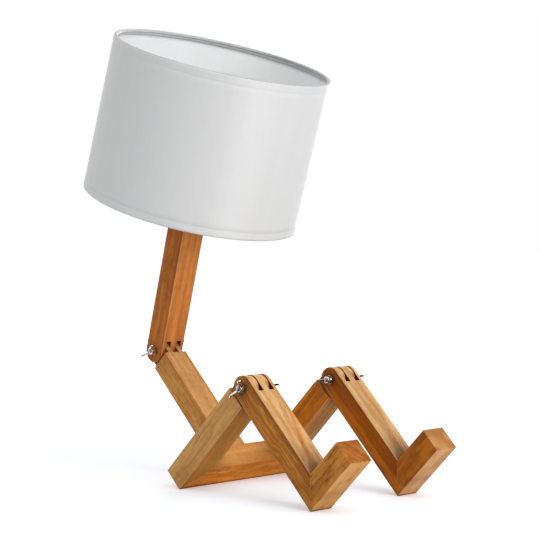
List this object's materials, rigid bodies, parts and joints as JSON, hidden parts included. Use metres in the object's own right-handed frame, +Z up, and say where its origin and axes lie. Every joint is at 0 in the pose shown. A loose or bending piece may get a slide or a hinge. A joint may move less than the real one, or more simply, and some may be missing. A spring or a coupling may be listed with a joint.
{
  "type": "robot shaped desk lamp",
  "caption": "Wooden desk lamp in the shape of a sitting robot, with knuckle joints at knees and waist held by wing nuts, and a fabric drum shade for a head.",
  "frame": {"origin": "on the surface it stands on, below the middle of the lamp between toes and shade", "axes": "+Z up, +X along the cross bar, the knees and feet point towards -Y"},
  "size_m": [0.226, 0.4012, 0.4659],
  "materials": {
    "wood_light": "satin varnish over straight-grained timber",
    "wood_warm": "satin varnish over straight-grained timber",
    "wood_red": "satin varnish over red-brown timber",
    "beech": "plain turned dowel",
    "bright_plating": "bright plated die casting",
    "zinc_plating": "zinc plated steel",
    "brass": "plain brass",
    "black_plastic": "moulded phenolic, slight gloss",
    "porcelain": "unglazed white porcelain",
    "bulb_body": "moulded white",
    "bulb_globe": "frosted opal",
    "shade_fabric": "white satin-weave cloth on a laminated liner"
  },
  "bodies": {
    "seat_frame": {"crossbar": "wood_warm", "left_thigh": "wood_light", "right_thigh": "wood_light", "torso": "wood_light", "corner_dowels": "beech", "torso_dowels": "beech"},
    "left_leg": {"left_shin": "wood_warm", "left_foot": "wood_warm", "left_heel_dowels": "beech", "left_knee_washers": "zinc_plating"},
    "right_leg": {"right_shin": "wood_warm", "right_foot": "wood_warm", "right_heel_dowels": "beech", "right_knee_washers": "zinc_plating"},
    "head": {"post": "wood_red", "waist_washers": "zinc_plating", "cord_bushing": "black_plastic", "threaded_tube": "zinc_plating", "seat_washer": "zinc_plating", "lock_nut": "zinc_plating", "holder_cap": "black_plastic", "holder_core": "porcelain", "centre_contact": "brass", "screw_shell": "brass", "holder_barrel": "black_plastic", "ring_nut": "black_plastic", "bulb_contact": "brass", "bulb_cap": "zinc_plating", "bulb_housing": "bulb_body", "bulb_globe": "bulb_globe", "shade_cover": "shade_fabric", "shade_hems": "shade_fabric", "shade_top_ring": "zinc_plating", "shade_lower_ring": "zinc_plating", "shade_spider": "zinc_plating"},
    "left_knee_bolt": {"left_knee_bolt": "bright_plating"},
    "left_knee_nut": {"left_knee_nut": "bright_plating"},
    "right_knee_bolt": {"right_knee_bolt": "bright_plating"},
    "right_knee_nut": {"right_knee_nut": "bright_plating"},
    "waist_bolt": {"waist_bolt": "bright_plating"},
    "waist_nut": {"waist_nut": "bright_plating"}
  },
  "joints": [
    {"name": "left_knee", "type": "hinge", "parent": "seat_frame", "child": "left_leg", "pos_m": [-0.061, -0.06185, 0.10657], "axis": [-1, 0, 0], "range_deg": [-4, 184]},
    {"name": "right_knee", "type": "hinge", "parent": "seat_frame", "child": "right_leg", "pos_m": [0.061, -0.06185, 0.10657], "axis": [-1, 0, 0], "range_deg": [-4, 184]},
    {"name": "waist", "type": "hinge", "parent": "seat_frame", "child": "head", "pos_m": [0, 0.13442, 0.12697], "axis": [1, 0, 0], "range_deg": [-154, 34]},
    {"name": "left_knee_bolt_turn", "type": "hinge", "parent": "left_leg", "child": "left_knee_bolt", "pos_m": [-0.061, -0.06185, 0.10657], "axis": [1, 0, 0], "continuous": true},
    {"name": "left_knee_nut_turn", "type": "hinge", "parent": "left_knee_bolt", "child": "left_knee_nut", "pos_m": [-0.061, -0.06185, 0.10657], "axis": [1, 0, 0], "continuous": true},
    {"name": "right_knee_bolt_turn", "type": "hinge", "parent": "right_leg", "child": "right_knee_bolt", "pos_m": [0.061, -0.06185, 0.10657], "axis": [1, 0, 0], "continuous": true},
    {"name": "right_knee_nut_turn", "type": "hinge", "parent": "right_knee_bolt", "child": "right_knee_nut", "pos_m": [0.061, -0.06185, 0.10657], "axis": [1, 0, 0], "continuous": true},
    {"name": "waist_bolt_turn", "type": "hinge", "parent": "head", "child": "waist_bolt", "pos_m": [0, 0.13442, 0.12697], "axis": [1, 0, 0], "continuous": true},
    {"name": "waist_nut_turn", "type": "hinge", "parent": "waist_bolt", "child": "waist_nut", "pos_m": [0, 0.13442, 0.12697], "axis": [1, 0, 0], "continuous": true}
  ]
}
